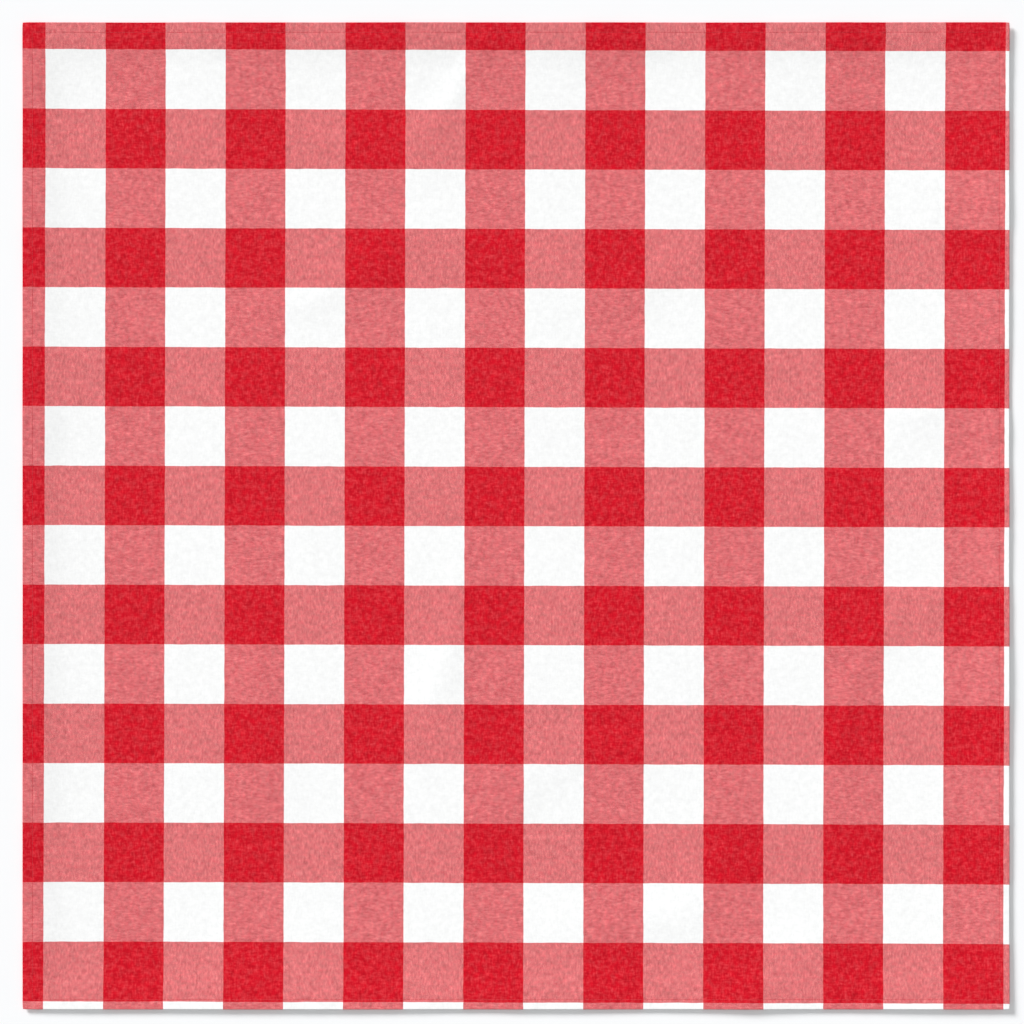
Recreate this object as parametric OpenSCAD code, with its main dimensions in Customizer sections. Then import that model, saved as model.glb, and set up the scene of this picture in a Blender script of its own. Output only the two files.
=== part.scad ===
// Gingham tablecloth, laid out flat and face up. One square of woven cotton has its four edges turned
// under twice and stitched down, with a mitre at each corner.
// Origin: centre of the underside. +Z is up, +X is to the right and -Y is the front.

/* [Cloth] */
// Finished width, from the left edge to the right edge
cloth_w = 850; // [400:5:1600]
// Finished depth, from the front edge to the back edge
cloth_d = 850; // [400:5:1600]
// Thickness of one layer of the woven cotton
cloth_t = 0.4; // [0.3:0.02:0.8]

/* [Hem] */
// Width of the finished hem on the underside
hem_w = 10; // [7:0.5:25]
// Space between the outer fold and the raw edge that is tucked inside the hem
raw_gap = 1.5; // [0.5:0.25:3]
// Space between two layers that lie on each other
layer_gap = 0.04; // [0.02:0.01:0.1]
// Width of the slope on which the face comes down from the hem to the table
slope_w = 24; // [10:1:60]

/* [Seam] */
// Distance from the hem's inner fold to the middle of the seam
seam_in = 1.5; // [1:0.1:2.5]
// Length of one machine stitch
stitch_len = 3.5; // [2:0.25:6]
// Width of the sewing thread, pressed flat
thread_w = 0.36; // [0.2:0.02:0.5]
// Height of the sewing thread, pressed flat into the cloth
thread_h = 0.2; // [0.1:0.02:0.24]
// Clearance on each side of a thread in the bed that its tension presses into the cloth
thread_gap = 0.05; // [0.02:0.01:0.1]

/* [Mitre] */
// Half-width of the flap of spare cloth that is folded in under each mitre
flap_w = 2; // [1:0.25:3]
// Length of one hand stitch along the mitre
mitre_stitch_len = 1.6; // [1:0.1:3]

/* [Hidden] */
// Heights of the hem's three layers, from the table up
layer_pitch = cloth_t + layer_gap;
tuck_z = layer_pitch;
face_z = 2 * layer_pitch;
stack_h = face_z + cloth_t;

// Radii of the two folds, measured to their outer surfaces
outer_fold_r = stack_h / 2;
inner_fold_r = (layer_pitch + cloth_t) / 2;

// Distances inward from the finished edge
seam_u = hem_w - seam_in;
inner_fold_u = hem_w - inner_fold_r;
border_w = hem_w + slope_w;

// The bed that a seam thread lies in, and the gap between the folded edges of a mitre
bed_w = thread_w + 2 * thread_gap;
mitre_gap = bed_w;

// Where a thread goes down a needle hole: how far it drops, and the length it drops over
dip_h = thread_h / 2;
dip_l = stitch_len / 6;

slope_steps = 8;
overlap = 1;

// Each side: name, length, distance from the middle of the cloth, turn from the front side
SIDES = [
    ["front", cloth_w, cloth_d / 2, 0],
    ["right", cloth_d, cloth_w / 2, 90],
    ["back", cloth_w, cloth_d / 2, 180],
    ["left", cloth_d, cloth_w / 2, 270],
];

// Each corner: name, place, turn from the front left corner
CORNERS = [
    ["front_left", [-cloth_w / 2, -cloth_d / 2], 0],
    ["front_right", [cloth_w / 2, -cloth_d / 2], 90],
    ["back_right", [cloth_w / 2, cloth_d / 2], 180],
    ["back_left", [-cloth_w / 2, cloth_d / 2], 270],
];

// Puts a piece drawn along X, with its edge at Y = 0 and the cloth at +Y, on one side of the cloth.
module on_side(side) {
    rotate([0, 0, side[3]])
        translate([0, -side[2], 0])
            children();
}

// Puts a piece drawn in the first quadrant at one corner of the cloth.
module at_corner(corner) {
    translate(corner[1])
        rotate([0, 0, corner[2]])
            children();
}

// Extrudes a cross-section (distance in from the edge, height) along one side, and mitres both ends
// at 45 degrees, each end set back from the mitre line by a distance measured along the side.
module mitred_strip(length, depth, setback) {
    half = length / 2 - setback;
    intersection() {
        rotate([90, 0, 90])
            linear_extrude(height = length, center = true)
                children();
        translate([0, 0, -overlap])
            linear_extrude(height = stack_h + 2 * overlap)
                polygon([[-half, 0], [half, 0], [half - depth, depth], [-half + depth, depth]]);
    }
}

// Half of a ring, one layer thick, that opens towards +X.
module fold_section(outer_r) {
    difference() {
        circle(r = outer_r, $fn = 48);
        circle(r = outer_r - cloth_t, $fn = 48);
        translate([0, -outer_r - overlap])
            square([outer_r + overlap, 2 * (outer_r + overlap)]);
    }
}

// The half wave, from 1 down to 0, that the face follows on its way down to the table.
function slope_drop(share) = (1 + cos(180 * share)) / 2;

// The underside of the border, from the outer fold in to the flat of the cloth.
function border_line() = concat(
    [[outer_fold_r, face_z]],
    [for (i = [0:slope_steps]) [hem_w + slope_w * i / slope_steps, face_z * slope_drop(i / slope_steps)]]
);

// Cross-section of the border of the face, with the bed of the needle thread pressed into its top.
module border_section() {
    under = border_line();
    last = len(under) - 1;
    difference() {
        polygon(concat(under, [for (i = [last:-1:0]) under[i] + [0, cloth_t]]));
        translate([seam_u - bed_w / 2, stack_h - thread_h])
            square([bed_w, thread_h + overlap]);
    }
}

// The face of the cloth: the flat middle, and the four mitred borders that rise over the hems.
module cloth_panel() {
    color([0.87, 0.42, 0.45]) {
        translate([-cloth_w / 2 + border_w, -cloth_d / 2 + border_w, 0])
            cube([cloth_w - 2 * border_w, cloth_d - 2 * border_w, cloth_t]);
        for (s = SIDES)
            on_side(s)
                mitred_strip(s[1], border_w, 0)
                    border_section();
    }
}

// Cross-section of the outer fold, the layer that shows on the underside and the inner fold.
module turned_section() {
    translate([outer_fold_r, outer_fold_r])
        fold_section(outer_fold_r);
    difference() {
        translate([outer_fold_r, 0])
            square([inner_fold_u - outer_fold_r, cloth_t]);
        translate([seam_u - bed_w / 2, -overlap])
            square([bed_w, thread_h + overlap]);
    }
    translate([inner_fold_u, inner_fold_r])
        mirror([1, 0])
            fold_section(inner_fold_r);
}

// Cross-section of the raw edge, tucked between the other two layers.
module tucked_section() {
    translate([outer_fold_r + raw_gap, tuck_z])
        square([inner_fold_u - outer_fold_r - raw_gap, cloth_t]);
}

// One hem. Its raw edge is cut back at both ends to make room for the corner flaps.
module hem(side) {
    mitre_setback = mitre_gap / 2 * sqrt(2);
    tuck_setback = (flap_w + layer_gap) * sqrt(2);
    color([0.82, 0.30, 0.34])
        on_side(side) {
            mitred_strip(side[1], hem_w, mitre_setback)
                turned_section();
            mitred_strip(side[1], hem_w, tuck_setback)
                tucked_section();
        }
}

// The flap of spare cloth folded in along a mitre, at the height of the tucked raw edges.
module corner_flap(corner) {
    near = outer_fold_r;
    far = inner_fold_u - layer_gap;
    reach = flap_w * sqrt(2);
    color([0.75, 0.20, 0.25])
        at_corner(corner)
            translate([0, 0, tuck_z])
                linear_extrude(height = cloth_t)
                    polygon([
                        [near, near],
                        [near + reach, near],
                        [far, far - reach],
                        [far, far],
                        [far - reach, far],
                        [near, near + reach],
                    ]);
}

// One run of seam thread along X, lying on Z = 0. Its floats are joined by dips, one at each needle hole.
module seam_thread(run) {
    stitches = round(run / stitch_len);
    pitch = run / stitches;
    crown = [for (i = [0:stitches - 1], p = [
        [i * pitch, thread_h - dip_h],
        [i * pitch + dip_l, thread_h],
        [(i + 1) * pitch - dip_l, thread_h],
    ]) p];
    translate([-run / 2, thread_w / 2, 0])
        rotate([90, 0, 0])
            linear_extrude(height = thread_w)
                polygon(concat([[0, 0]], crown, [[run, thread_h - dip_h], [run, 0]]));
}

// Length of the seam on a side. Runs across the cloth take up the corners, and the others fit between.
function seam_run(side) =
    side[1] - 2 * seam_u + (side[3] % 180 == 0 ? thread_w : -thread_w - 2 * thread_gap);

// The needle thread, which lies in the face.
module needle_thread(side) {
    color([0.70, 0.10, 0.15])
        on_side(side)
            translate([0, seam_u, stack_h - thread_h])
                seam_thread(seam_run(side));
}

// The bobbin thread, which lies in the underside and dips upward.
module bobbin_thread(side) {
    color([0.60, 0.08, 0.12])
        on_side(side)
            translate([0, seam_u, thread_h])
                mirror([0, 0, 1])
                    seam_thread(seam_run(side));
}

// The hand-sewn thread along a mitre. It crosses from one folded edge to the other at every stitch,
// from the outer fold in to the machine seam.
module mitre_thread(corner) {
    start = (outer_fold_r + thread_w) * sqrt(2);
    run = (seam_u - bed_w) * sqrt(2) - start;
    stitches = round(run / mitre_stitch_len);
    pitch = run / stitches;
    line = [for (i = [0:stitches]) [start + i * pitch, (i % 2 == 0 ? 1 : -1) * thread_gap]];
    side_out = [0, thread_w / 2];
    color([0.70, 0.10, 0.15])
        at_corner(corner)
            rotate([0, 0, 45])
                translate([0, 0, (cloth_t - thread_h) / 2])
                    linear_extrude(height = thread_h)
                        polygon(concat(
                            [for (p = line) p - side_out],
                            [for (i = [stitches:-1:0]) line[i] + side_out]
                        ));
}

cloth_panel();
for (s = SIDES) {
    hem(s);
    needle_thread(s);
    bobbin_thread(s);
}
for (c = CORNERS) {
    corner_flap(c);
    mitre_thread(c);
}
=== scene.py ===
"""A red and white gingham tablecloth, laid out flat on a pale floor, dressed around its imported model.

Every piece is first worked out lying perfectly flat, layer on layer, as it is woven, folded and sewn.
One mapping, Settling.lay, then puts all of them down together, so the layers, the folds and the threads
stay where they were sewn. Lengths are in metres, +Z is up and -Y is the front.
"""

import logging
import math
from dataclasses import dataclass, field
from enum import Enum

import bpy
import numpy as np
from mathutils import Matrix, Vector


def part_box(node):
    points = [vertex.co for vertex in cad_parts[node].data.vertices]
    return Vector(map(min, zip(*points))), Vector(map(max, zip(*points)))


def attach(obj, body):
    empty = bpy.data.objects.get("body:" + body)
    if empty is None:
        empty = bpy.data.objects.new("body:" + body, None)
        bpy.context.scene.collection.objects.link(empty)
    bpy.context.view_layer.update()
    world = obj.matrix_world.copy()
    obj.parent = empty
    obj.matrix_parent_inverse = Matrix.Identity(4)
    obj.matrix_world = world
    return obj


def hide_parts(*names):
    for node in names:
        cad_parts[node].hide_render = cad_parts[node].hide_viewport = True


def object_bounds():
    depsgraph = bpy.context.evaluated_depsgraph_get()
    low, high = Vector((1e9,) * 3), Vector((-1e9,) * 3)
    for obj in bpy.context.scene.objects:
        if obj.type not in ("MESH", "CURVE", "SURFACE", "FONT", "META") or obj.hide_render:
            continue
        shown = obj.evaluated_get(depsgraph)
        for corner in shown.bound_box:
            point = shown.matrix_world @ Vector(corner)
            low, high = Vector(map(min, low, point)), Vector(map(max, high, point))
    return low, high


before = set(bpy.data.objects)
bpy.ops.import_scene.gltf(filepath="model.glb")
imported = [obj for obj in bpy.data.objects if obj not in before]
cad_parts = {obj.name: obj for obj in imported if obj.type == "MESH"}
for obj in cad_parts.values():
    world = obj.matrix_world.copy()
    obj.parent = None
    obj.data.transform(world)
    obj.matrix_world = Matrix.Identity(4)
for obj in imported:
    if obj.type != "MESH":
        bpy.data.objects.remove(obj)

CAD_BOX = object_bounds()
BODY = "root"
CLOTH_MAP = "cloth"
# The close rows of points along the seam: how far they reach on each side of it, and how many there are.
SEAM_BAND = 0.0008
SEAM_ROWS = 5

Array = np.ndarray
Socket = bpy.types.NodeSocket
Piece = bpy.types.Object
Finish = bpy.types.Material
Pair = tuple[float, float]
Colour = tuple[float, float, float]
log = logging.getLogger("tablecloth")


class Side(Enum):
    """The sides of the cloth, each with its quarter turns from the front."""

    FRONT = 0
    RIGHT = 1
    BACK = 2
    LEFT = 3


class Corner(Enum):
    """The corners of the cloth, each with its quarter turns from the front left."""

    FRONT_LEFT = 0
    FRONT_RIGHT = 1
    BACK_RIGHT = 2
    BACK_LEFT = 3


class Strand(Enum):
    """The two threads of a machine seam: 1 lies on the face of the cloth and 0 underneath."""

    NEEDLE = 1
    BOBBIN = 0


@dataclass(frozen=True)
class ClothPlan:
    """The flat cloth's sizes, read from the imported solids.

    Heights are above what the cloth lies on, and depths are distances in from the finished edge. The
    layers of the hem are one pitch apart, and hem and seam are the depths of its inner fold and its seam.
    """

    width: float
    length: float
    layer: float
    pitch: float
    hem: float
    seam: float
    thread_w: float
    thread_h: float

    @classmethod
    def from_frame(cls) -> "ClothPlan":
        """Reads the plan off the boxes of the panel's hems, a corner flap and a seam thread.

        Returns:
            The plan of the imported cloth.
        """
        low, high = CAD_BOX
        hem_low, hem_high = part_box("hem_front")
        flap_low, flap_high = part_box("corner_flap_front_left")
        thread_low, thread_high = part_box("needle_thread_front")
        return cls(
            width=high.x - low.x,
            length=high.y - low.y,
            layer=flap_high.z - flap_low.z,
            pitch=flap_low.z - hem_low.z,
            hem=hem_high.y - hem_low.y,
            seam=(thread_low.y + thread_high.y) / 2 - low.y,
            thread_w=thread_high.y - thread_low.y,
            thread_h=thread_high.z - thread_low.z,
        )

    @property
    def stack(self) -> float:
        """Height of the hem's three layers."""
        return 2 * self.pitch + self.layer

    @property
    def outer_fold(self) -> float:
        """Outside radius of the fold along the finished edge."""
        return self.stack / 2

    @property
    def inner_fold(self) -> float:
        """Outside radius of the fold along the inside of the hem."""
        return (self.pitch + self.layer) / 2

    def span(self, side: Side) -> float:
        """Length of the cloth along one side."""
        return self.width if side.value % 2 == 0 else self.length

    def reach(self, side: Side) -> float:
        """Distance from the middle of the cloth to one side."""
        return (self.length if side.value % 2 == 0 else self.width) / 2

    def depth(self, x: Array, y: Array) -> Array:
        """Distance in from the nearest finished edge.

        Args:
            x: Places across the cloth.
            y: Places along the cloth.

        Returns:
            One depth for each place.
        """
        return np.minimum(self.width / 2 - np.abs(x), self.length / 2 - np.abs(y))

    def at_seam(self) -> Array:
        """Depths across the seam, close together, for the layers that it draws in."""
        return self.seam + np.linspace(-SEAM_BAND, SEAM_BAND, SEAM_ROWS)

    def in_corner(self, corner: Corner, deep_x: Array, deep_y: Array) -> Array:
        """Places in one corner of the cloth.

        Args:
            corner: The corner.
            deep_x: Depths from the corner's left edge, with the corner turned to the front left.
            deep_y: Depths from its front edge.

        Returns:
            Rows of x, y.
        """
        half = np.array([self.width, self.length]) / 2
        half = half[::-1] if corner.value % 2 else half
        spots = np.stack([deep_x - half[0], deep_y - half[1]], axis=-1).reshape(-1, 2)
        return turned(spots, corner.value)


def turned(points: Array, quarter_turns: int) -> Array:
    """Turns flat points about the cloth's middle, anticlockwise from above.

    Args:
        points: Rows of x, y and any other columns, which stay as they are.
        quarter_turns: How many quarter turns.

    Returns:
        The turned points.
    """
    cos, sin = ((1, 0), (0, 1), (-1, 0), (0, -1))[quarter_turns]
    out = points.copy()
    out[..., 0] = cos * points[..., 0] - sin * points[..., 1]
    out[..., 1] = sin * points[..., 0] + cos * points[..., 1]
    return out


class Ripples:
    """Smooth unevenness: a sum of plane waves with random directions, lengths and phases.

    value(x, y) = sqrt(2 / n) * sum of cos(k . (x, y) + phase), which has a mean square of about 1.
    """

    def __init__(self, rng: np.random.Generator, shortest: float, longest: float, count: int = 24) -> None:
        """Draws the waves.

        Args:
            rng: The source of the random draws.
            shortest: The shortest wavelength.
            longest: The longest wavelength.
            count: How many waves are summed.
        """
        heading = rng.uniform(0, 2 * math.pi, count)
        number = 2 * math.pi / rng.uniform(shortest, longest, count)
        self.kx, self.ky = number * np.cos(heading), number * np.sin(heading)
        self.phase = rng.uniform(0, 2 * math.pi, count)

    def __call__(self, x: Array, y: Array) -> Array:
        """The unevenness at each place.

        Args:
            x: Places across the cloth.
            y: Places along the cloth.

        Returns:
            One value for each place.
        """
        total = np.zeros(np.broadcast(x, y).shape)
        for kx, ky, phase in zip(self.kx, self.ky, self.phase):
            total += np.cos(kx * x + ky * y + phase)
        return total * math.sqrt(2 / len(self.phase))


@dataclass
class Settling:
    """How the sewn cloth comes to lie: flat, with soft ridges, lifted edges and a puckered seam."""

    plan: ClothPlan
    seed: int = 7
    ridge_height: float = 0.0009
    ridge_share: float = 0.35
    ridge_waves: Pair = (0.26, 0.55)
    fade_waves: Pair = (0.3, 0.6)
    fade_sharpness: float = 3.0
    edge_lift: float = 0.0023
    edge_run: float = 0.045
    lift_waves: Pair = (0.12, 0.4)
    lift_change: float = 0.22
    least_lift: float = 0.2
    pucker_height: float = 0.00016
    pucker_run: float = 0.009
    pucker_waves: Pair = (0.011, 0.026)
    pucker_count: int = 40
    pucker_change: float = 0.5
    corner_pull: float = 0.0003
    corner_run: float = 0.0022
    seam_pinch: float = 0.13
    pinch_run: float = 0.0015
    slope_step: float = 0.0005
    ridge_lines: Ripples = field(init=False)
    ridge_fade: Ripples = field(init=False)
    lift_wave: Ripples = field(init=False)
    puckers: Ripples = field(init=False)

    def __post_init__(self) -> None:
        """Draws the random waves, always in the same order."""
        rng = np.random.default_rng(self.seed)
        self.ridge_lines = Ripples(rng, *self.ridge_waves)
        self.ridge_fade = Ripples(rng, *self.fade_waves)
        self.lift_wave = Ripples(rng, *self.lift_waves)
        self.puckers = Ripples(rng, *self.pucker_waves, self.pucker_count)

    def relief(self, x: Array, y: Array) -> Array:
        """Height of the cloth's underside above what it lies on.

        A ridge follows each line on which a smooth wave field passes through zero, with a bell-shaped
        section. The edges lift as exp(-depth / run), and the puckers fade out on both sides of the seam.

        Args:
            x: Places across the cloth.
            y: Places along the cloth.

        Returns:
            One height for each place.
        """
        plan = self.plan
        ridge = np.exp(-((self.ridge_lines(x, y) / self.ridge_share) ** 2))
        fade = 1 / (1 + np.exp(-self.fade_sharpness * self.ridge_fade(x, y)))
        from_x = np.maximum(plan.width / 2 - np.abs(x), 0)
        from_y = np.maximum(plan.length / 2 - np.abs(y), 0)
        lift = 1 - (1 - np.exp(-from_x / self.edge_run)) * (1 - np.exp(-from_y / self.edge_run))
        wave = 1 + self.lift_change * self.lift_wave(x, y)
        off_seam = np.abs(plan.depth(x, y) - plan.seam)
        pucker = (1 + self.pucker_change * self.puckers(x, y)) * np.exp(-off_seam / self.pucker_run)
        return (
            self.ridge_height * ridge * fade
            + self.edge_lift * lift * np.maximum(wave, self.least_lift)
            + self.pucker_height * pucker
        )

    def lay(self, flat: Array) -> Array:
        """Puts flat points down as the settled cloth lies.

        The seam draws the layers together about the middle of the stack. Each point then stands off the
        settled underside along its normal by its own height: (x, y, relief) + height * normal. The very
        corners are drawn in a little, since a turned corner is never quite sharp.

        Args:
            flat: Rows of x, y and height, of the cloth lying perfectly flat.

        Returns:
            The same points on the settled cloth.
        """
        plan = self.plan
        x, y, z = flat[..., 0], flat[..., 1], flat[..., 2]
        middle = plan.stack / 2
        pinch = self.seam_pinch * np.exp(-(((plan.depth(x, y) - plan.seam) / self.pinch_run) ** 2))
        z = np.where(plan.depth(x, y) < plan.hem, middle + (z - middle) * (1 - pinch), z)
        step = self.slope_step
        rise_x = (self.relief(x + step, y) - self.relief(x - step, y)) / (2 * step)
        rise_y = (self.relief(x, y + step) - self.relief(x, y - step)) / (2 * step)
        size = np.sqrt(rise_x**2 + rise_y**2 + 1)
        from_corner = plan.width / 2 - np.abs(x) + plan.length / 2 - np.abs(y)
        pull = self.corner_pull * np.exp(-((from_corner / self.corner_run) ** 2))
        return np.stack(
            [
                x - z * rise_x / size - pull * np.sign(x),
                y - z * rise_y / size - pull * np.sign(y),
                self.relief(x, y) + z / size,
            ],
            axis=-1,
        )


def grid_faces(rows: int, columns: int, closed: bool = False) -> Array:
    """The quads of a grid of points, facing the viewer who sees columns run right and rows run up.

    Args:
        rows: How many rows of points.
        columns: How many points in a row.
        closed: Whether each row's last point joins its first.

    Returns:
        Four point numbers for each quad.
    """
    row, column = np.meshgrid(np.arange(rows - 1), np.arange(columns - (not closed)), indexing="ij")
    here, above = row * columns, (row + 1) * columns
    after = (column + 1) % columns
    quads = np.stack([here + column, here + after, above + after, above + column], axis=-1)
    return quads.reshape(-1, 4)


def grid_rim(rows: int, columns: int) -> Array:
    """The outermost points of a grid, in order round it, clockwise where its rows run up.

    Args:
        rows: How many rows of points.
        columns: How many points in a row.

    Returns:
        The point numbers, each once.
    """
    number = np.arange(rows * columns).reshape(rows, columns)
    anticlockwise = [number[0, :-1], number[:-1, -1], number[-1, :0:-1], number[:0:-1, 0]]
    return np.concatenate(anticlockwise)[::-1]


def make_piece(
    name: str, points: Array, faces: list[Array], smooth: list[bool], cloth: Array | None = None
) -> Piece:
    """Makes a mesh object from arrays, with its flat-shaded faces' edges sharp.

    Args:
        name: The piece's name.
        points: Rows of x, y, z.
        faces: Groups of faces, each an array with one row of point numbers for each face.
        smooth: For each group, whether it is shaded smooth.
        cloth: For each point, its place on the cloth as it was woven, or None.

    Returns:
        The object, linked to the scene.
    """
    mesh = bpy.data.meshes.new(name)
    corners = np.concatenate([group.ravel() for group in faces]).astype(np.int32)
    sizes = np.concatenate([np.full(len(group), group.shape[1]) for group in faces]).astype(np.int32)
    starts = np.concatenate([[0], np.cumsum(sizes)[:-1]]).astype(np.int32)
    mesh.vertices.add(len(points))
    mesh.vertices.foreach_set("co", points.astype(np.float32).ravel())
    mesh.loops.add(len(corners))
    mesh.loops.foreach_set("vertex_index", corners)
    mesh.polygons.add(len(sizes))
    mesh.polygons.foreach_set("loop_start", starts)
    mesh.polygons.foreach_set("loop_total", sizes)
    shading = np.concatenate([np.full(len(group), flag) for group, flag in zip(faces, smooth)])
    mesh.polygons.foreach_set("use_smooth", shading)
    if cloth is not None:
        layer = mesh.uv_layers.new(name=CLOTH_MAP)
        layer.data.foreach_set("uv", cloth[corners].astype(np.float32).ravel())
    mesh.update(calc_edges=True)
    mesh.validate()
    edge_at_corner = np.empty(len(corners), np.int32)
    mesh.loops.foreach_get("edge_index", edge_at_corner)
    sharp = np.zeros(len(mesh.edges), bool)
    sharp[edge_at_corner[np.repeat(~shading, sizes)]] = True
    mesh.edges.foreach_set("use_edge_sharp", sharp)
    piece = bpy.data.objects.new(name, mesh)
    bpy.context.scene.collection.objects.link(piece)
    return piece


@dataclass
class Layer:
    """A layer of cloth as a closed shell: an upper and a lower surface of the same grid, and a rim."""

    upper: Array
    lower: Array
    cloth: Array
    faces: list[Array]
    rim: Array

    def build(self, name: str, settling: Settling) -> Piece:
        """Lays the layer down and makes its mesh.

        Args:
            name: The piece's name.
            settling: How the cloth lies.

        Returns:
            The piece.
        """
        count = len(self.upper)
        points = settling.lay(np.concatenate([self.upper, self.lower]))
        after = np.roll(self.rim, -1)
        walls = np.stack([after, self.rim, self.rim + count, after + count], axis=-1)
        under = [group[:, ::-1] + count for group in self.faces]
        groups = [*self.faces, *under, walls]
        smooth = [True] * (2 * len(self.faces)) + [False]
        return make_piece(name, points, groups, smooth, np.concatenate([self.cloth, self.cloth]))


class Shader:
    """A short way to write a chain of shader nodes."""

    def __init__(self, name: str) -> None:
        """Starts a material that holds only its shader and output.

        Args:
            name: The material's name.
        """
        self.material = bpy.data.materials.new(name)
        self.material.use_nodes = True
        self.tree = self.material.node_tree
        self.shader = self.tree.nodes["Principled BSDF"]

    def node(self, kind: str, *values: float | Socket, **settings: object) -> bpy.types.Node:
        """Adds a node.

        Args:
            kind: The node's type.
            values: What goes into its inputs, in order: a number, a tuple or another node's output.
            settings: Properties of the node.

        Returns:
            The node.
        """
        node = self.tree.nodes.new(kind)
        for key, setting in settings.items():
            setattr(node, key, setting)
        for socket, value in zip(node.inputs, values):
            self.put(socket, value)
        return node

    def put(self, socket: Socket, value: float | tuple | Socket) -> None:
        """Sets an input to a value or links it to an output.

        Args:
            socket: The input.
            value: A number, a colour or another node's output.
        """
        if isinstance(value, bpy.types.NodeSocket):
            self.tree.links.new(value, socket)
        else:
            socket.default_value = value

    def math(self, operation: str, *values: float | Socket, clamp: bool = False) -> Socket:
        """A Math node's output."""
        return self.node("ShaderNodeMath", *values, operation=operation, use_clamp=clamp).outputs[0]

    def mix(self, share: float | Socket, first: float | Socket, second: float | Socket) -> Socket:
        """A number between two others: first + share * (second - first)."""
        return self.math("MULTIPLY_ADD", share, self.math("SUBTRACT", second, first), first)

    def blend(self, share: float | Socket, first: Colour | Socket, second: Colour | Socket) -> Socket:
        """A colour between two others.

        Args:
            share: 0 for the first colour and 1 for the second.
            first: The first colour.
            second: The second colour.

        Returns:
            The colour.
        """
        node = self.node("ShaderNodeMix", data_type="RGBA", clamp_factor=True)
        self.put(node.inputs["Factor"], share)
        for word, colour in (("A", first), ("B", second)):
            self.put(node.inputs[word], (*colour, 1) if isinstance(colour, tuple) else colour)
        return node.outputs["Result"]

    def point(self, x: float | Socket, y: float | Socket, z: float | Socket = 0.0) -> Socket:
        """A vector from its three parts."""
        return self.node("ShaderNodeCombineXYZ", x, y, z).outputs[0]

    def noise(self, place: Socket, scale: float, detail: float = 2.0, output: str = "Fac") -> Socket:
        """Smooth noise from 0 to 1, with a mean of a half.

        Args:
            place: Where to read it.
            scale: How many patches there are in a metre of place.
            detail: How many times finer noise is added.
            output: Fac for one pattern, or Color for three at once.

        Returns:
            The noise.
        """
        node = self.node("ShaderNodeTexNoise", noise_dimensions="3D")
        self.put(node.inputs["Vector"], place)
        node.inputs["Scale"].default_value = scale
        node.inputs["Detail"].default_value = detail
        return node.outputs[output]

    def bump(self, height: Socket, strength: float, distance: float) -> None:
        """Raises the surface by a pattern too fine to be in the mesh.

        Args:
            height: The pattern, from 0 to 1.
            strength: How much of it shows.
            distance: Its height where the pattern is 1.
        """
        node = self.node("ShaderNodeBump")
        node.inputs["Strength"].default_value = strength
        node.inputs["Distance"].default_value = distance
        self.put(node.inputs["Height"], height)
        self.put(self.shader.inputs["Normal"], node.outputs[0])

    def even(self, roughness: float, specular: float, sheen: float = 0.0) -> None:
        """Sets what is the same all over the surface.

        Args:
            roughness: From 0, polished, to 1, dull.
            specular: Strength of the reflection.
            sheen: Strength of the soft light that loose fibres catch.
        """
        self.shader.inputs["Roughness"].default_value = roughness
        self.shader.inputs["Specular IOR Level"].default_value = specular
        self.shader.inputs["Sheen Weight"].default_value = sheen


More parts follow.
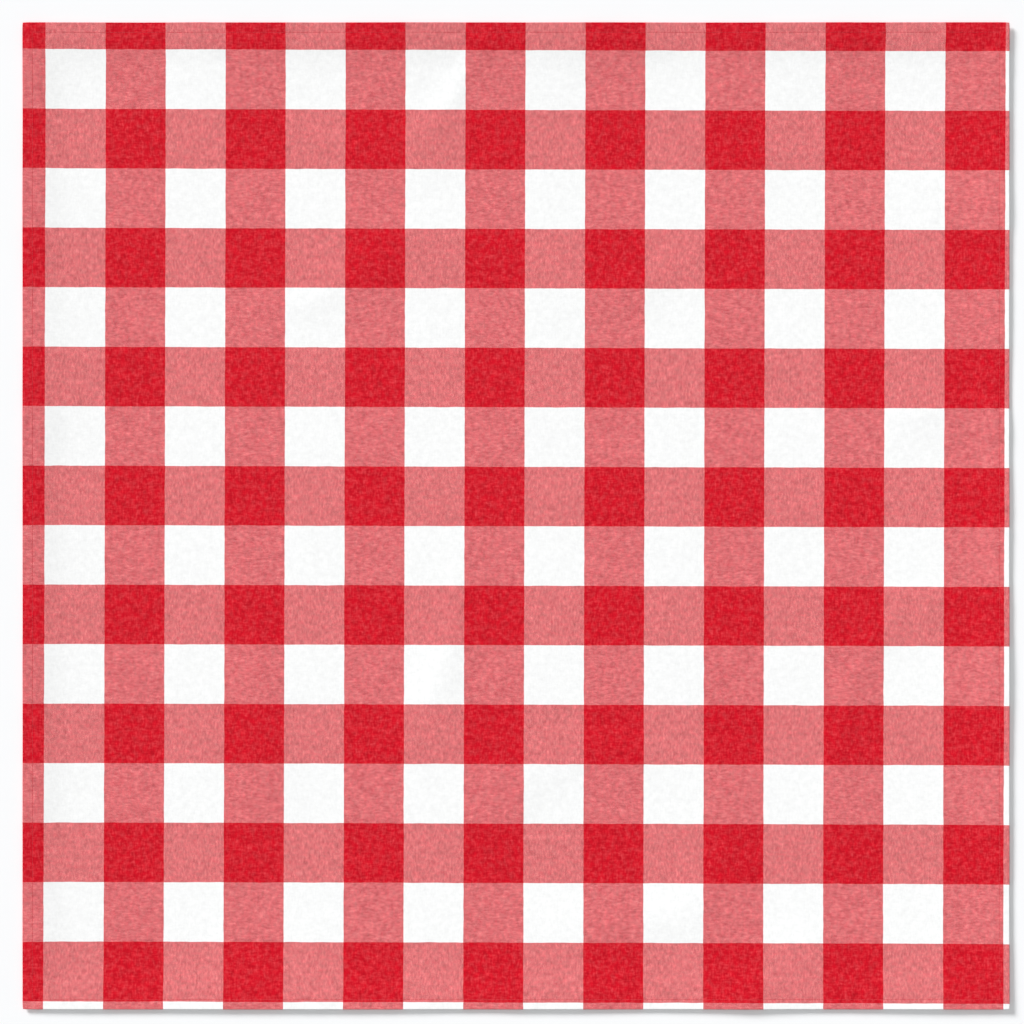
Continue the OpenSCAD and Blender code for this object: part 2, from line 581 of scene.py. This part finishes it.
@dataclass(frozen=True)
class Gingham:
    """Plain-woven cotton in red and white checks.

    The warp runs along Y and the weft along X, and they pass over each other in turn. Counted in yarns,
    the warp is on top where sin(pi * across) * sin(pi * along) is above zero and the weft where it is
    below, so each float is a small square that swells where its yarn is thicker. A white yarn that
    crosses a red one, white_on_red, takes up some of its red. The cloth is cut a little off its grain,
    so the checks lean by a fraction of a degree from its edges, and left_part and back_part are what is
    left of a check at those edges.
    """

    plan: ClothPlan
    warp_check: float = 0.05167
    weft_check: float = 0.05126
    left_part: float = 0.01886
    back_part: float = 0.02383
    lean: float = 0.0025
    yarns_in_check: int = 116
    red_on_red: Colour = (0.603, 0.0015, 0.0135)
    red_on_white: Colour = (0.63, 0.043, 0.073)
    white_on_red: Colour = (0.745, 0.259, 0.248)
    white_on_white: Colour = (0.905, 0.912, 0.910)
    warp_show: float = 0.043
    float_edge: float = 5.0
    streak_yarns: float = 3.2
    streak_length: float = 0.0045
    streak_show: float = 0.55
    white_streaks: float = 0.12
    red_streaks: float = 0.52
    weft_seed: float = 7.3
    pale_fibres: float = 0.06
    nap_size: Pair = (0.0042, 0.0056)
    nap_light: Pair = (-0.43, 0.43)
    nap_pale: Pair = (-0.019, 0.039)
    nap_detail: float = 1.0
    nap_seed: float = 11.7
    # Painted shade: how bright the colour is painted in the gaps between floats and on their crowns.
    painted_gap_shade: Pair = (0.86, 1.10)
    fibre_size: float = 0.00014
    fibre_light: float = 0.8
    waver: float = 0.001
    wavers_in_metre: float = 70.0
    waver_detail: float = 3.0
    fibre_bump: float = 0.3
    bump_strength: float = 0.6
    weave_height: float = 0.00007
    roughness: float = 0.88
    specular: float = 0.15
    sheen: float = 0.05

    def material(self) -> Finish:
        """Builds the material.

        Returns:
            The material, which reads each piece's own map of the woven cloth.
        """
        m = Shader("gingham")
        flat = m.node("ShaderNodeUVMap", uv_map=CLOTH_MAP).outputs[0]
        axes = self.grain(m, flat)
        # Which check each yarn is in: places counted in checks, where the odd ones are red.
        first_x = -self.plan.width / 2 + self.left_part
        first_y = self.plan.length / 2 - self.back_part
        across = m.math("DIVIDE", m.math("SUBTRACT", axes[0], first_x), self.warp_check)
        along = m.math("DIVIDE", m.math("SUBTRACT", first_y, axes[1]), self.weft_check)
        warp_red = m.math("FLOORED_MODULO", m.math("FLOOR", across), 2.0)
        weft_red = m.math("FLOORED_MODULO", m.math("FLOOR", along), 2.0)

        # Which yarn is on top.
        warp = m.math("MULTIPLY", across, float(self.yarns_in_check))
        weft = m.math("MULTIPLY", along, float(self.yarns_in_check))
        warp_slub = self.streaks(m, warp, axes[1], 0.0)
        weft_slub = self.streaks(m, weft, axes[0], self.weft_seed)
        stouter = m.math("SUBTRACT", warp_slub, weft_slub)
        thicker = m.math("MULTIPLY_ADD", stouter, self.streak_show, self.warp_show)
        wave = m.math(
            "MULTIPLY",
            m.math("SINE", m.math("MULTIPLY", warp, math.pi)),
            m.math("SINE", m.math("MULTIPLY", weft, math.pi)),
        )
        float_height = m.math("ADD", wave, thicker)
        over = m.math("MULTIPLY_ADD", float_height, self.float_edge, 0.5, clamp=True)
        colour = m.blend(over, self.crossing(m, weft_red, warp_red), self.crossing(m, warp_red, weft_red))

        # Painted light and shade in the base colour. Each float is painted lighter on its rounded crown and
        # darker in the gaps between floats, which is painted shade. Loose fibres, slubs and the nap are the
        # yarns' own uneven tone.
        height = m.math("SQRT", m.math("ABSOLUTE", float_height), clamp=True)
        slubs = m.math("SUBTRACT", m.math("ADD", warp_slub, weft_slub), 1.0)
        contrast = m.mix(m.math("MAXIMUM", warp_red, weft_red), self.white_streaks, self.red_streaks)
        fibres = m.noise(flat, 1 / self.fibre_size)
        # Painted shade on each float, lighter at its crown and darker towards its edges, plus the loose
        # fibres' own uneven tone.
        fibres_and_painted_crown = m.math("MULTIPLY_ADD", m.math("SUBTRACT", fibres, 0.5), self.fibre_light, height)
        nap = self.nap(m, axes)
        uneven = m.math("ADD", slubs, m.mix(nap[0], *self.nap_light))
        light = m.math("MULTIPLY_ADD", uneven, contrast, m.mix(fibres_and_painted_crown, *self.painted_gap_shade))
        raised = m.mix(nap[1], *self.nap_pale)
        pale = m.math("MULTIPLY_ADD", slubs, self.pale_fibres, raised, clamp=True)
        shade = m.node("ShaderNodeMix", data_type="RGBA", blend_type="MULTIPLY")
        shade.inputs["Factor"].default_value = 1.0
        m.put(shade.inputs["A"], m.blend(pale, colour, self.white_on_white))
        m.put(shade.inputs["B"], m.point(light, light, light))
        m.put(m.shader.inputs["Base Color"], shade.outputs["Result"])
        m.bump(m.mix(self.fibre_bump, height, fibres), self.bump_strength, self.weave_height)
        m.even(self.roughness, self.specular, self.sheen)
        return m.material

    def grain(self, m: Shader, flat: Socket) -> list[Socket]:
        """Place along the yarns, which waver a little and lean from the cloth's edges.

        Args:
            m: The material.
            flat: Place on the woven cloth, square to its edges.

        Returns:
            Place across the warp and place along it.
        """
        waver = m.noise(flat, self.wavers_in_metre, self.waver_detail, "Color")
        off = m.node("ShaderNodeVectorMath", waver, (0.5,) * 3, operation="SUBTRACT").outputs[0]
        push = m.node("ShaderNodeVectorMath", off, (self.waver,) * 3, flat, operation="MULTIPLY_ADD")
        place = m.node("ShaderNodeSeparateXYZ", push.outputs[0]).outputs
        return [
            m.math("MULTIPLY_ADD", place[1], -self.lean, place[0]),
            m.math("MULTIPLY_ADD", place[0], self.lean, place[1]),
        ]

    def nap(self, m: Shader, axes: list[Socket]) -> list[Socket]:
        """The nap's unevenness: patches a few millimetres wide, longer along the warp.

        Args:
            m: The material.
            axes: Place on the woven cloth.

        Returns:
            Three independent patterns from 0 to 1, each with a mean of a half.
        """
        width, length = self.nap_size
        place = m.point(m.math("DIVIDE", axes[0], width), m.math("DIVIDE", axes[1], length), self.nap_seed)
        return m.node("ShaderNodeSeparateXYZ", m.noise(place, 1.0, self.nap_detail, "Color")).outputs

    def crossing(self, m: Shader, top_red: Socket, under_red: Socket) -> Socket:
        """The colour of a yarn on top, tinted by the yarn that it crosses.

        Args:
            m: The material.
            top_red: 1 where the yarn on top is red and 0 where it is white.
            under_red: The same for the yarn beneath.

        Returns:
            The colour.
        """
        white = m.blend(under_red, self.white_on_white, self.white_on_red)
        red = m.blend(under_red, self.red_on_white, self.red_on_red)
        return m.blend(top_red, white, red)

    def streaks(self, m: Shader, yarns: Socket, gone: Socket, seed: float) -> Socket:
        """Uneven yarn thickness: noise that is even across each yarn and drawn out along it.

        Args:
            m: The material.
            yarns: Place across the yarns, counted in yarns.
            gone: Place along the yarns.
            seed: Keeps one set of yarns from looking like the other.

        Returns:
            The unevenness, about a half.
        """
        number = m.math("DIVIDE", m.math("FLOOR", yarns), self.streak_yarns)
        return m.noise(m.point(number, m.math("DIVIDE", gone, self.streak_length), seed), 1.0)


@dataclass(frozen=True)
class SewingThread:
    """Red polyester sewing thread, smoother than the cloth, with fibres along its plies."""

    name: str
    colour: Colour = (0.63, 0.042, 0.055)
    dark: Colour = (0.54, 0.026, 0.038)
    roughness: float = 0.55
    specular: float = 0.3
    sheen: float = 0.1
    fibre_size: float = 0.00012
    fibre_height: float = 0.00002
    bump_strength: float = 0.4

    def material(self) -> Finish:
        """Builds the material.

        Returns:
            The material, which reads object coordinates.
        """
        m = Shader(self.name)
        place = m.node("ShaderNodeTexCoord").outputs["Object"]
        fibres = m.noise(place, 1 / self.fibre_size)
        m.put(m.shader.inputs["Base Color"], m.blend(fibres, self.dark, self.colour))
        m.bump(fibres, self.bump_strength, self.fibre_height)
        m.even(self.roughness, self.specular, self.sheen)
        return m.material


@dataclass(frozen=True)
class FloorPaint:
    """Matt white paint, with a trace of unevenness."""

    colours: tuple[Colour, Colour] = ((0.89, 0.90, 0.91), (0.90, 0.91, 0.92))
    patches_in_metre: float = 30.0
    roughness: float = 0.9
    specular: float = 0.1

    def material(self) -> Finish:
        """Builds the material.

        Returns:
            The material, which reads object coordinates.
        """
        m = Shader("floor")
        place = m.node("ShaderNodeTexCoord").outputs["Object"]
        m.put(m.shader.inputs["Base Color"], m.blend(m.noise(place, self.patches_in_metre), *self.colours))
        m.even(self.roughness, self.specular)
        return m.material


def dress(piece: Piece, finish: Finish, slot: str, *nodes: str) -> Piece:
    """Gives a piece its finish and its body, and hides the CAD nodes that it stands for.

    Args:
        piece: The piece.
        finish: Its material.
        slot: The record's material slot; not used.
        nodes: The CAD nodes that it replaces.

    Returns:
        The piece.
    """
    piece.data.materials.append(finish)
    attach(piece, BODY)
    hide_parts(*nodes)
    return piece


@dataclass
class Panel:
    """The face of the cloth, over the hems and down to the floor.

    Its border is a band of square rings, mitred at the corners and close together at the seam, and its
    middle is an even grid. The border's points are three times as close along the edge.
    """

    plan: ClothPlan
    settling: Settling
    slope: float = 0.03
    cells: int = 140
    closeness: int = 3
    hem_rings: int = 5
    hem_margin: float = 0.0012
    slope_rings: int = 8
    slope_spread: float = 1.3

    def rings(self) -> Array:
        """Places the border's rings: even on the hem, close at the seam and wider and wider apart past it.

        Returns:
            Their depths, from the outer fold in.
        """
        plan, end = self.plan, self.plan.hem + self.slope
        over_hem = np.linspace(plan.outer_fold, plan.seam - self.hem_margin, self.hem_rings)
        down = end - (end - plan.hem) * np.linspace(1, 0, self.slope_rings) ** self.slope_spread
        return np.concatenate([over_hem, plan.at_seam(), down])

    def underside(self, depth: Array) -> Array:
        """Height of the underside: on the hem, and then down to the floor as half a cosine wave.

        Args:
            depth: Depths in from the finished edge.

        Returns:
            One height for each depth.
        """
        share = np.clip((depth - self.plan.hem) / self.slope, 0, 1)
        return 2 * self.plan.pitch * (1 + np.cos(math.pi * share)) / 2

    def layer(self) -> Layer:
        """Works out the panel's points and faces.

        Returns:
            The panel, lying flat.
        """
        plan, cells, close = self.plan, self.cells, self.closeness
        depths, fine = self.rings(), self.cells * self.closeness
        share = np.tile(np.arange(fine) / fine, 4)
        turn = np.repeat(np.arange(4), fine)
        rings = []
        for depth in depths:
            spot = np.zeros((4 * fine, 2))
            for side in Side:
                on = turn == side.value
                half = plan.span(side) / 2 - depth
                along = half * (2 * share[on] - 1)
                edge = np.stack([along, np.full(fine, depth - plan.reach(side))], axis=-1)
                spot[on] = turned(edge, side.value)
            rings.append(spot)
        border = np.concatenate(rings)
        inner = np.array([plan.width, plan.length]) / 2 - depths[-1]
        steps = np.linspace(-1, 1, cells + 1)[1:-1]
        middle = np.stack(np.meshgrid(steps * inner[0], steps * inner[1]), axis=-1).reshape(-1, 2)
        flat = np.concatenate([border, middle])

        last = (len(depths) - 1) * 4 * fine
        net = np.zeros((cells + 1, cells + 1), int)
        net[1:-1, 1:-1] = len(border) + np.arange((cells - 1) ** 2).reshape(cells - 1, -1)
        quads = grid_faces(cells - 1, cells - 1) + len(border)
        groups = [grid_faces(len(depths), 4 * fine, closed=True), quads]
        # Faces that join the last ring to the grid: closeness steps along the ring for one along the grid,
        # and at each corner a face that turns round it.
        for quarter in range(4):
            next_in = np.rot90(net, quarter)[1, 1:-1]
            number = np.arange(1, cells - 1)
            side = last + (quarter * fine + number[:, None] * close + np.arange(close + 1)) % (4 * fine)
            back = np.stack([next_in[number], next_in[number - 1]], axis=1)
            groups.append(np.concatenate([side, back], axis=1))
            corner = last + (quarter * fine + np.arange(-close, close + 1)) % (4 * fine)
            groups.append(np.concatenate([corner, next_in[:1]])[None, :])
        lower = np.column_stack([flat, self.underside(plan.depth(flat[:, 0], flat[:, 1]))])
        upper = lower + [0, 0, plan.layer]
        return Layer(upper, lower, flat, groups, np.arange(4 * fine))

    def build(self, gingham: Finish) -> Piece:
        """Makes the panel's piece and dresses it."""
        piece = self.layer().build("cloth_face", self.settling)
        return dress(piece, gingham, "gingham_face", "cloth_panel")


def stretch(start: float, end: float, steps: int) -> Array:
    """Even steps that leave out the last, so that stretches can follow each other."""
    return np.linspace(start, end, steps, endpoint=False)


@dataclass
class Hem:
    """One side's hem: the outer fold, the layer underneath, the inner fold and the tucked raw edge.

    The middle of the cloth's thickness follows a path of distance gone since the face ends: half a turn
    down, straight in, half a turn up and straight out again. Both surfaces stand half a layer off it.
    """

    plan: ClothPlan
    settling: Settling
    side: Side
    along: int = 420
    raw_gap: float = 0.0015
    mitre_gap: float = 0.00012
    flap: float = 0.002
    bend_points: int = 13
    bend_closeness: float = 0.1
    flat_steps: int = 5
    short_steps: int = 2

    def path(self) -> tuple[Array, Array, Array, Array]:
        """Works out the path across the hem.

        Returns:
            For each point, its depth, height, direction as an angle and distance gone.
        """
        plan = self.plan
        outer, inner = plan.outer_fold - plan.layer / 2, plan.inner_fold - plan.layer / 2
        start, turn = plan.outer_fold, plan.hem - plan.inner_fold
        even = np.linspace(0, 1, self.bend_points)
        bend = math.pi * (even - self.bend_closeness * np.sin(2 * math.pi * even))
        seam = plan.at_seam()
        before = stretch(start, seam[0], self.flat_steps)[1:]
        after = stretch(seam[-1], turn, self.short_steps)[1:]
        level = np.concatenate([before, seam, after])
        tuck = np.linspace(turn, plan.outer_fold + self.raw_gap, self.flat_steps)[1:]
        depth = np.concatenate([start - outer * np.sin(bend), level, turn + inner * np.sin(bend), tuck])
        height = np.concatenate([
            plan.stack / 2 + outer * np.cos(bend),
            np.full(len(level), plan.layer / 2),
            plan.inner_fold - inner * np.cos(bend),
            np.full(len(tuck), plan.pitch + plan.layer / 2),
        ])
        angle = np.concatenate([
            math.pi + bend,
            np.full(len(level), 2 * math.pi),
            2 * math.pi + bend,
            np.full(len(tuck), 3 * math.pi),
        ])
        gone = np.concatenate([[0], np.cumsum(np.hypot(np.diff(depth), np.diff(height)))])
        return depth, height, angle, gone

    def layer(self) -> Layer:
        """Works out the hem's points and faces.

        Returns:
            The hem, lying flat and turned to its side.
        """
        plan = self.plan
        depth, height, angle, gone = self.path()
        half, reach = plan.span(self.side) / 2, plan.reach(self.side)
        tucked = (height > plan.layer) & (gone > gone[-1] / 2)
        setback = np.where(tucked, self.flap * math.sqrt(2), self.mitre_gap / math.sqrt(2))
        setback = np.where(gone < math.pi * plan.outer_fold / 2, 0, setback)
        share = np.linspace(-1, 1, self.along + 1)
        off = plan.layer / 2 * np.stack([np.sin(angle), -np.cos(angle)])

        def surface(turned_out: float) -> Array:
            """One face of the cloth, half a layer off the path.

            Args:
                turned_out: 1 for the face of the cloth and -1 for its back.

            Returns:
                Rows of x, y, z.
            """
            deep = depth + turned_out * off[0]
            tall = height + turned_out * off[1]
            wide = (half - np.maximum(deep, 0) - setback)[:, None] * share
            spots = np.stack(np.broadcast_arrays(wide, deep[:, None] - reach, tall[:, None]), axis=-1)
            return turned(spots.reshape(-1, 3), self.side.value)

        wide = (half - depth)[:, None] * share
        woven = np.stack(np.broadcast_arrays(wide, (plan.outer_fold - gone - reach)[:, None]), axis=-1)
        woven = turned(woven.reshape(-1, 2), self.side.value)
        faces = grid_faces(*wide.shape)[:, ::-1]
        return Layer(surface(1.0), surface(-1.0), woven, [faces], grid_rim(*wide.shape))

    def build(self, gingham: Finish) -> Piece:
        """Makes the hem's piece and dresses it.

        Args:
            gingham: The cloth's material.

        Returns:
            The piece.
        """
        word = self.side.name.lower()
        piece = self.layer().build(f"{word}_hem_fold", self.settling)
        return dress(piece, gingham, "gingham_hem", f"hem_{word}")


@dataclass
class CornerFlap:
    """The spare cloth folded in under one mitre: a six-sided layer along the corner's diagonal."""

    plan: ClothPlan
    settling: Settling
    corner: Corner
    half_width: float = 0.002
    tip_gap: float = 0.0001
    tip_width: float = 0.00001
    steps: int = 9

    def layer(self) -> Layer:
        """Works out the flap: rows along the diagonal, each as wide as the outline is there.

        Returns:
            The flap, lying flat in its corner.
        """
        plan, steps = self.plan, self.steps
        near, far = plan.outer_fold, plan.hem - plan.inner_fold - self.tip_gap
        middle = np.linspace(near, far, 2 * steps + 1)
        pointed = np.minimum(middle - near, far - middle) + self.tip_width
        wide = np.minimum(self.half_width / math.sqrt(2), pointed)
        aside = wide[:, None] * np.linspace(-1, 1, steps)
        spot = plan.in_corner(self.corner, middle[:, None] - aside, middle[:, None] + aside)
        lower = np.column_stack([spot, np.full(len(spot), plan.pitch)])
        faces = grid_faces(*aside.shape)[:, ::-1]
        return Layer(lower + [0, 0, plan.layer], lower, spot, [faces], grid_rim(*aside.shape))

    def build(self, gingham: Finish) -> Piece:
        """Makes the flap's piece and dresses it.

        Args:
            gingham: The cloth's material.

        Returns:
            The piece.
        """
        word = self.corner.name.lower()
        piece = self.layer().build(f"{word}_flap", self.settling)
        return dress(piece, gingham, "gingham_flap", f"corner_flap_{word}")


@dataclass
class Thread:
    """A plied sewing thread along a path: a tube of oval section with a ridge for each ply.

    At distance s along the thread and angle a round it, the radius is
    1 + ridge * cos(plies * (a - 2 * pi * s / lay)), times half the width across and half the height up.
    """

    width: float
    height: float
    plies: int = 3
    lay: float = 0.0016
    ridge: float = 0.1
    around: int = 10

    def tube(self, name: str, path: Array, settling: Settling) -> Piece:
        """Makes the tube along a flat path and lays it down with the cloth.

        Args:
            name: The piece's name.
            path: Rows of x, y, z along the thread, on the cloth lying flat.
            settling: How the cloth lies.

        Returns:
            The piece.
        """
        ahead = np.gradient(path, axis=0)
        ahead /= np.linalg.norm(ahead, axis=1)[:, None]
        aside = np.cross([0.0, 0.0, 1.0], ahead)
        aside /= np.linalg.norm(aside, axis=1)[:, None]
        up = np.cross(ahead, aside)
        gone = np.concatenate([[0], np.cumsum(np.linalg.norm(np.diff(path, axis=0), axis=1))])
        angle = np.arange(self.around) * 2 * math.pi / self.around
        size = 1 + self.ridge * np.cos(self.plies * (angle[None, :] - 2 * math.pi * gone[:, None] / self.lay))
        across = self.width / 2 * size * np.cos(angle)
        tall = self.height / 2 * size * np.sin(angle)
        points = path[:, None] + across[..., None] * aside[:, None] + tall[..., None] * up[:, None]
        flat = np.concatenate([points.reshape(-1, 3), path[[0, -1]]])
        quads = grid_faces(len(path), self.around, closed=True)
        turn = np.arange(self.around)
        after = (turn + 1) % self.around
        tip = np.full(self.around, len(path) * self.around)
        final = (len(path) - 1) * self.around
        first = np.stack([tip, after, turn], axis=-1)
        last = np.stack([tip + 1, final + turn, final + after], axis=-1)
        return make_piece(name, settling.lay(flat), [quads, first, last], [True, False, False])


@dataclass
class Seam:
    """The machine seam along one side: the needle thread on the face and the bobbin thread underneath.

    Each stitch is a float that lies on the cloth and dips into a needle hole at both ends. It slants a
    little, as a lockstitch does, and no two stitches are quite the same.
    """

    plan: ClothPlan
    settling: Settling
    side: Side
    stitch: float = 0.0035
    rings: int = 15
    dip: float = 0.0004
    dip_run: float = 0.00028
    slant: float = 0.00005
    proud: float = 0.00003
    wander: float = 0.00004
    uneven: float = 0.02
    squash: Pair = (0.9, 1.1)
    seed: int = 40

    def path(self, strand: Strand) -> Array:
        """Works out a thread's path on the cloth lying flat.

        Args:
            strand: Which of the seam's threads.

        Returns:
            Rows of x, y, z along the thread.
        """
        plan = self.plan
        rng = np.random.default_rng(self.seed + 2 * self.side.value + strand.value)
        run = plan.span(self.side) - 2 * plan.seam
        stitches = round(run / self.stitch)
        pitch = run / stitches
        number = np.arange(stitches * self.rings + 1) / self.rings
        phase = number - np.floor(number)
        from_hole = np.minimum(phase, 1 - phase) * pitch
        down = np.exp(-((from_hole / self.dip_run) ** 2))
        lean = self.slant * (2 * phase - 1) * (1 - down)
        holes = np.arange(stitches + 1)
        wander = np.interp(number, holes, rng.normal(0, self.wander, stitches + 1))
        ends = rng.normal(0, self.uneven, stitches + 1)
        ends[[0, -1]] = 0
        x = (number + np.interp(number, holes, ends)) * pitch - run / 2
        y = plan.seam - plan.reach(self.side) + lean + wander
        rise = self.proud - self.dip * down
        z = plan.stack + rise if strand is Strand.NEEDLE else -rise
        return turned(np.stack([x, y, z], axis=-1), self.side.value)

    def build(self, polyester: Finish) -> list[Piece]:
        """Makes both threads and dresses them.

        Args:
            polyester: The machine thread's material.

        Returns:
            The needle thread's piece and the bobbin thread's.
        """
        thread = Thread(self.plan.thread_w * self.squash[0], self.plan.thread_h * self.squash[1])
        word, pieces = self.side.name.lower(), []
        for strand in Strand:
            kind = strand.name.lower()
            piece = thread.tube(f"{word}_{kind}_stitches", self.path(strand), self.settling)
            pieces.append(dress(piece, polyester, "seam_thread", f"{kind}_thread_{word}"))
        return pieces


@dataclass
class MitreSeam:
    """The hand-sewn thread along one mitre, which crosses the two folded edges at each stitch."""

    plan: ClothPlan
    settling: Settling
    corner: Corner
    stitch: float = 0.0016
    sway: float = 0.00022
    from_fold: float = 0.0006
    from_seam: float = 0.0007
    sunk: float = 0.00003
    dip: float = 0.00016
    dip_sharpness: int = 8
    squash: Pair = (0.6, 0.7)
    rings: int = 14

    def path(self) -> Array:
        """Works out the thread's path: a wave along the corner's diagonal that dips in at every turn.

        Returns:
            Rows of x, y, z along the thread, on the cloth lying flat.
        """
        plan = self.plan
        start, end = plan.outer_fold + self.from_fold, plan.seam - self.from_seam
        stitches = round((end - start) * math.sqrt(2) / self.stitch)
        number = np.linspace(0, stitches, stitches * self.rings + 1)
        deep = start + (end - start) * number / stitches
        aside = self.sway * np.cos(math.pi * number) / math.sqrt(2)
        z = self.sunk + self.dip * np.cos(math.pi * number) ** self.dip_sharpness
        return np.column_stack([plan.in_corner(self.corner, deep + aside, deep - aside), z])

    def build(self, polyester: Finish) -> Piece:
        """Makes the thread and dresses it.

        Args:
            polyester: The hand thread's material.

        Returns:
            The piece.
        """
        thread = Thread(self.plan.thread_w * self.squash[0], self.plan.thread_h * self.squash[1])
        word = self.corner.name.lower()
        piece = thread.tube(f"{word}_mitre_stitches", self.path(), self.settling)
        return dress(piece, polyester, "mitre_thread", f"mitre_thread_{word}")


@dataclass
class Studio:
    """A pale floor, a soft key light from the back left, even light all round, and the camera.

    Strengths are light on a surface that faces the lamp, and a heading is anticlockwise from +X.
    """

    view_width: float = 0.8829
    aim_x: float = -0.00345
    aim_y: float = 0.00336
    lens: float = 100.0
    key_height: float = 24.0
    key_heading: float = 135.0
    key_strength: float = 4.18
    key_softness: float = 18.0
    top_height: float = 90.0
    top_strength: float = 0.91
    top_softness: float = 60.0
    fill: float = 0.25
    floor_size: float = 60.0

    def build(self) -> None:
        """Makes the floor, the lights and the camera."""
        scene = bpy.context.scene
        half = self.floor_size / 2
        corners = np.array([[-half, -half, 0], [half, -half, 0], [half, half, 0], [-half, half, 0]])
        floor = make_piece("studio_floor", corners, [np.array([[0, 1, 2, 3]])], [False])
        floor.data.materials.append(FloorPaint().material())

        self.lamp("key", self.key_strength, self.key_softness, self.key_height)
        self.lamp("top", self.top_strength, self.top_softness, self.top_height)

        world = bpy.data.worlds.new("studio")
        world.use_nodes = True
        world.node_tree.nodes["Background"].inputs["Color"].default_value = (1, 1, 1, 1)
        world.node_tree.nodes["Background"].inputs["Strength"].default_value = self.fill
        scene.world = world

        lens = bpy.data.cameras.new("camera")
        lens.lens = self.lens
        camera = bpy.data.objects.new("camera", lens)
        camera.location = (self.aim_x, self.aim_y, self.view_width * self.lens / lens.sensor_width)
        scene.collection.objects.link(camera)
        scene.camera = camera
        scene.view_settings.view_transform = "Standard"

    def lamp(self, name: str, strength: float, softness: float, height: float) -> None:
        """Adds a far-off lamp.

        Args:
            name: The lamp's name.
            strength: Its light on a surface that faces it.
            softness: How wide it looks, in degrees.
            height: Its angle above the floor, in degrees.
        """
        light = bpy.data.lights.new(name, "SUN")
        light.energy = strength
        light.angle = math.radians(softness)
        lamp = bpy.data.objects.new(name, light)
        lamp.rotation_euler = (math.radians(90 - height), 0, math.radians(self.key_heading - 270))
        bpy.context.scene.collection.objects.link(lamp)


def main() -> None:
    """Builds the studio and the cloth, piece by piece."""
    logging.basicConfig(level=logging.INFO, format="%(name)s: %(message)s")
    plan = ClothPlan.from_frame()
    settling = Settling(plan)
    Studio().build()

    gingham = Gingham(plan).material()
    machine_thread = SewingThread("seam_thread").material()
    hand_thread = SewingThread("mitre_thread", roughness=0.6).material()

    face = Panel(plan, settling).build(gingham)
    sewn_on = []
    for side in Side:
        sewn_on.append(Hem(plan, settling, side).build(gingham))
        sewn_on.extend(Seam(plan, settling, side).build(machine_thread))
    for corner in Corner:
        sewn_on.append(CornerFlap(plan, settling, corner).build(gingham))
        sewn_on.append(MitreSeam(plan, settling, corner).build(hand_thread))
    for piece in (face, *sewn_on):
        log.info("%s: %d faces", piece.name, len(piece.data.polygons))


if __name__ == "__main__":
    main()
